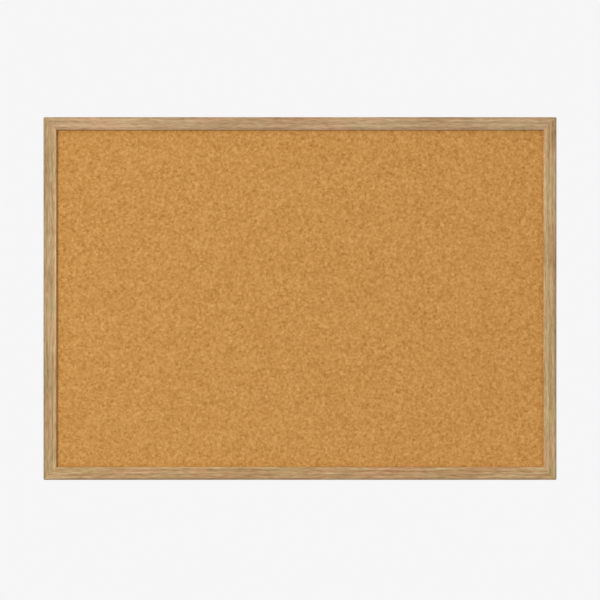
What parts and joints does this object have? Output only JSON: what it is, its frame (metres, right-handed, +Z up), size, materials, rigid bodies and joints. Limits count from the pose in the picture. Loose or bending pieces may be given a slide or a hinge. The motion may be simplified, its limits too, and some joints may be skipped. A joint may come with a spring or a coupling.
{
  "type": "pin badge board",
  "caption": "Landscape cork pin board in a mitred oak frame, with a laminated panel held in a rebate, swinging ring hangers and rear bumpers, for showing pin badges on a wall.",
  "frame": {"origin": "middle of the board's outline, on the wall plane that the rear bumpers touch", "axes": "+X to the right as seen from the front, +Y through the board into the wall, +Z up"},
  "size_m": [0.594, 0.0235, 0.42],
  "materials": {
    "oak": "matte",
    "cork": "matte",
    "fibreboard": "matte",
    "hardboard": "satin",
    "zinc_steel": "satin",
    "rubber": "matte"
  },
  "bodies": {
    "board": {"frame_top_rail": "oak", "frame_bottom_rail": "oak", "frame_left_stile": "oak", "frame_right_stile": "oak", "cork_sheet": "cork", "fibreboard_core": "fibreboard", "backing_board": "hardboard", "corner_nail_top_left": "zinc_steel", "corner_nail_top_right": "zinc_steel", "corner_nail_bottom_left": "zinc_steel", "corner_nail_bottom_right": "zinc_steel", "retaining_point_top_1": "zinc_steel", "retaining_point_top_2": "zinc_steel", "retaining_point_top_3": "zinc_steel", "retaining_point_top_4": "zinc_steel", "retaining_point_bottom_1": "zinc_steel", "retaining_point_bottom_2": "zinc_steel", "retaining_point_bottom_3": "zinc_steel", "retaining_point_bottom_4": "zinc_steel", "retaining_point_left_1": "zinc_steel", "retaining_point_left_2": "zinc_steel", "retaining_point_left_3": "zinc_steel", "retaining_point_right_1": "zinc_steel", "retaining_point_right_2": "zinc_steel", "retaining_point_right_3": "zinc_steel", "hanger_strap_left": "zinc_steel", "hanger_strap_right": "zinc_steel", "hanger_screw_left_1": "zinc_steel", "hanger_screw_left_2": "zinc_steel", "hanger_screw_right_1": "zinc_steel", "hanger_screw_right_2": "zinc_steel", "bumper_left": "rubber", "bumper_right": "rubber"},
    "left_ring": {"hanger_ring_left": "zinc_steel"},
    "right_ring": {"hanger_ring_right": "zinc_steel"}
  },
  "joints": [
    {"name": "left_ring_swing", "type": "hinge", "parent": "board", "child": "left_ring", "pos_m": [-0.2912, -0.0024, 0.12], "axis": [1, 0, 0], "range_deg": [0, 173]},
    {"name": "right_ring_swing", "type": "hinge", "parent": "board", "child": "right_ring", "pos_m": [0.2912, -0.0024, 0.12], "axis": [1, 0, 0], "range_deg": [0, 173]}
  ]
}
